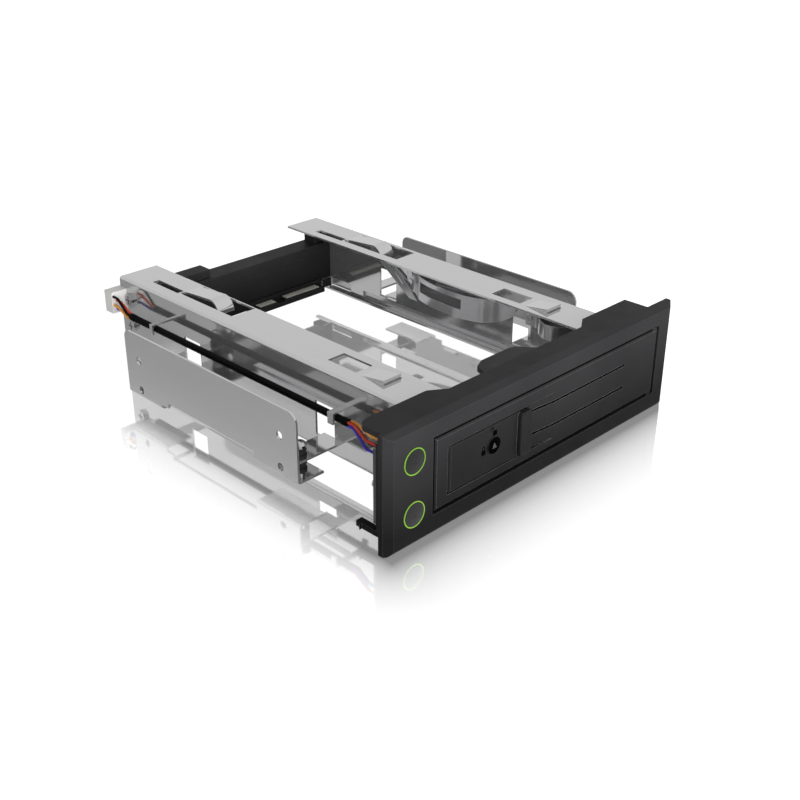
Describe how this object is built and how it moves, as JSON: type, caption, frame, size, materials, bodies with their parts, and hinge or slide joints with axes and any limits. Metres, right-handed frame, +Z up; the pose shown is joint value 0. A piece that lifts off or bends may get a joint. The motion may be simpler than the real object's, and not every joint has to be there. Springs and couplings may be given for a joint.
{
  "type": "hot swap drive cage",
  "caption": "Drive cage for a bare 3.5 inch drive in a 5.25 inch bay: steel rails on rubber mounts, hinged front door with lockable latch handle, ejector slide and ring-lit push buttons.",
  "frame": {"origin": "centre of the footprint at the bottom edge of the front bezel", "axes": "+X to the right seen from the front, +Y from the front bezel to the rear, +Z up"},
  "size_m": [0.1494, 0.1748, 0.042],
  "materials": {
    "black_plastic": "fine texture moulded plastic",
    "door_plastic": "fine texture moulded plastic",
    "button_black": "smooth moulded plastic",
    "sheet_steel": "plated sheet steel, softly reflective",
    "spring_steel": "polished spring steel",
    "zinc_hardware": "zinc plated",
    "lock_metal": "plated die casting",
    "damper_rubber": "soft black rubber",
    "circuit_board": "black solder mask on glass epoxy",
    "connector_plastic": "moulded connector plastic",
    "gold_contacts": "gold plated contacts",
    "white_plastic": "white moulded plastic",
    "green_light_guide": "green translucent light guide",
    "sleeve_black": "black sleeve",
    "wire_black": "insulated wire",
    "wire_red": "insulated wire",
    "wire_orange": "insulated wire",
    "wire_blue": "insulated wire"
  },
  "bodies": {
    "cage": {"front_bezel": "black_plastic", "left_rail": "sheet_steel", "right_rail": "sheet_steel", "left_side_plate": "sheet_steel", "right_side_plate": "sheet_steel", "left_damper_bushings": "damper_rubber", "right_damper_bushings": "damper_rubber", "damper_spacers": "zinc_hardware", "damper_screws": "zinc_hardware", "rear_bracket": "black_plastic", "backplane_board": "circuit_board", "sata_receptacle": "connector_plastic", "receptacle_contacts": "gold_contacts", "rear_data_port": "connector_plastic", "rear_power_port": "connector_plastic", "rear_screws": "zinc_hardware", "bezel_screws": "zinc_hardware", "cable_plug_rear": "white_plastic", "cable_sleeve": "sleeve_black", "front_board": "circuit_board", "board_screws": "zinc_hardware", "board_connector": "white_plastic", "button_switches": "connector_plastic", "upper_light_ring": "green_light_guide", "lower_light_ring": "green_light_guide", "long_side_spring": "spring_steel", "short_side_spring": "spring_steel", "stop_tongue": "spring_steel", "spring_rivets": "zinc_hardware", "door_hinge_pin": "zinc_hardware", "wire_black": "wire_black", "wire_red": "wire_red", "wire_orange": "wire_orange", "wire_blue": "wire_blue"},
    "door": {"door": "door_plastic", "latch_pin": "zinc_hardware", "crank_pin": "zinc_hardware"},
    "latch": {"latch_handle": "door_plastic"},
    "lock": {"lock_cylinder": "lock_metal", "lock_cam": "lock_metal"},
    "link": {"ejector_link": "zinc_hardware", "link_pin": "zinc_hardware"},
    "slider": {"ejector_slider": "spring_steel", "slider_pusher": "connector_plastic"},
    "upper_button": {"upper_button": "button_black"},
    "lower_button": {"lower_button": "button_black"}
  },
  "joints": [
    {"name": "door_hinge", "type": "hinge", "parent": "cage", "child": "door", "pos_m": [0.0634, -0.0838, 0.02115], "axis": [0, 0, 1], "range_deg": [0, 95]},
    {"name": "latch_pivot", "type": "hinge", "parent": "door", "child": "latch", "pos_m": [-0.0468, -0.0843, 0.02055], "axis": [0, 0, -1], "range_deg": [0, 35]},
    {"name": "lock_turn", "type": "hinge", "parent": "latch", "child": "lock", "pos_m": [-0.0264, -0.0827, 0.0212], "axis": [0, 1, 0], "range_deg": [0, 90]},
    {"name": "link_turn", "type": "hinge", "parent": "door", "child": "link", "pos_m": [0.05858, -0.07805, 0.0137], "axis": [0, 0, 1], "range_deg": [-95.1, 0.1]},
    {"name": "ejector_slide", "type": "slide", "parent": "cage", "child": "slider", "axis": [0, -1, 0], "range_m": [0, 0.01107]},
    {"name": "upper_button_press", "type": "slide", "parent": "cage", "child": "upper_button", "axis": [0, 1, 0], "range_m": [0, 0.0008], "stiffness_N_per_m": 500},
    {"name": "lower_button_press", "type": "slide", "parent": "cage", "child": "lower_button", "axis": [0, 1, 0], "range_m": [0, 0.0008], "stiffness_N_per_m": 500}
  ],
  "couplings": [
    {"joint": "link_turn", "follows": "door_hinge", "ratio": -1},
    {"joint": "ejector_slide", "follows": "door_hinge", "m_per_rad": 0.0066636}
  ]
}
